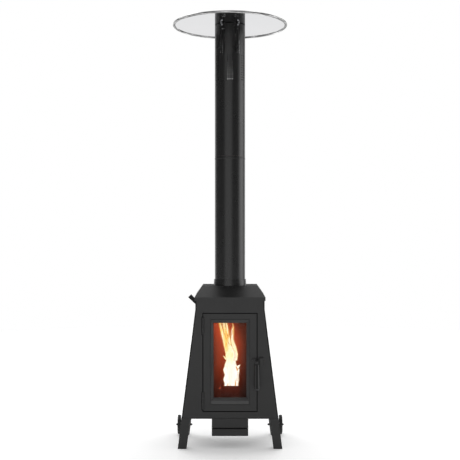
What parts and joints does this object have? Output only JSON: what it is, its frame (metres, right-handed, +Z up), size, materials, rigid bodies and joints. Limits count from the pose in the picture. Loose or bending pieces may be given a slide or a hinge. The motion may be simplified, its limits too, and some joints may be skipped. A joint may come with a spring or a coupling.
{
  "type": "pellet patio heater",
  "caption": "Free-standing patio heater: tapered steel firebox on legs, glazed hinged door, ash drawer, rear pellet hopper, tall flue with a round polished reflector.",
  "frame": {"origin": "on the floor, on the flue's axis, midway between the four feet", "axes": "+Z up, -Y towards the door, +X to the right of someone facing the door"},
  "size_m": [0.6039, 0.604, 2.2082],
  "materials": {
    "body_paint": "matt black powder coat",
    "flue_paint": "satin black heat-resistant paint",
    "polished_steel": "mirror polished stainless steel",
    "zinc": "zinc plated",
    "black_fastener": "black oxide",
    "tyre": "moulded rubber",
    "wheel_plastic": "moulded plastic",
    "glass": "clear ceramic glass",
    "liner": "vermiculite board, sooted",
    "hot_steel": "heat-tinted steel",
    "pot_iron": "cast, heat-tinted",
    "rope_seal": "woven glass-fibre rope",
    "grip_black": "glossy heat-resistant plastic"
  },
  "bodies": {
    "heater": {"base_plate": "body_paint", "front_panel": "body_paint", "rear_panel": "body_paint", "side_panel_left": "body_paint", "side_panel_right": "body_paint", "top_plate": "hot_steel", "roof_cap": "body_paint", "flue_collar": "flue_paint", "lower_flue": "flue_paint", "flue_coupler": "hot_steel", "upper_flue": "flue_paint", "self_tapping_screws": "black_fastener", "reflector_disc": "polished_steel", "reflector_rim": "polished_steel", "reflector_brackets": "flue_paint", "reflector_bolts": "zinc", "leg_front_left": "body_paint", "leg_front_right": "body_paint", "leg_rear_left": "body_paint", "leg_rear_right": "body_paint", "leg_bolts": "black_fastener", "wheel_bolts": "black_fastener", "wheel_fasteners": "black_fastener", "door_stop_frame": "body_paint", "hinge_knuckles": "body_paint", "hinge_pins": "black_fastener", "catch_block": "body_paint", "liner_left": "liner", "liner_right": "liner", "liner_back": "liner", "smoke_shelf": "hot_steel", "flue_throat": "hot_steel", "pot_stand": "hot_steel", "burn_pot": "pot_iron", "burn_grate": "pot_iron", "pellet_chute": "hot_steel", "hopper": "body_paint", "lid_hinge": "black_fastener", "ash_box_housing": "body_paint", "damper_bushing": "zinc"},
    "door": {"door_leaf": "body_paint", "window_bezel": "body_paint", "glass_gasket": "rope_seal", "door_glass": "glass", "glass_clips": "zinc", "door_seal": "rope_seal", "door_hinge_knuckles": "body_paint"},
    "latch": {"door_handle": "body_paint", "handle_grip": "grip_black", "handle_cap": "black_fastener"},
    "drawer": {"ash_drawer": "body_paint"},
    "damper": {"damper_shaft": "zinc", "damper_plate": "hot_steel", "damper_lever": "grip_black"},
    "lid": {"hopper_lid": "body_paint", "lid_knob": "grip_black"},
    "wheel_left": {"wheel_tyre_left": "tyre", "wheel_hub_left": "wheel_plastic"},
    "wheel_right": {"wheel_tyre_right": "tyre", "wheel_hub_right": "wheel_plastic"}
  },
  "joints": [
    {"name": "door_hinge", "type": "hinge", "parent": "heater", "child": "door", "pos_m": [-0.1378, -0.172, 0.442], "axis": [0, 0, -1], "range_deg": [0, 115]},
    {"name": "latch_turn", "type": "hinge", "parent": "door", "child": "latch", "pos_m": [0.124, -0.18, 0.449], "axis": [0, -1, 0], "range_deg": [0, 90]},
    {"name": "drawer_slide", "type": "slide", "parent": "heater", "child": "drawer", "axis": [0, -1, 0], "range_m": [0, 0.18]},
    {"name": "damper_turn", "type": "hinge", "parent": "heater", "child": "damper", "pos_m": [-0.177, 0, 0.735], "axis": [1, 0, 0], "range_deg": [0, 90]},
    {"name": "lid_swing", "type": "hinge", "parent": "heater", "child": "lid", "pos_m": [0, 0.18, 0.7515], "axis": [1, 0, 0], "range_deg": [0, 95]},
    {"name": "wheel_left_spin", "type": "hinge", "parent": "heater", "child": "wheel_left", "pos_m": [-0.277, 0.151, 0.054], "axis": [1, 0, 0], "continuous": true},
    {"name": "wheel_right_spin", "type": "hinge", "parent": "heater", "child": "wheel_right", "pos_m": [0.277, 0.151, 0.054], "axis": [1, 0, 0], "continuous": true}
  ]
}
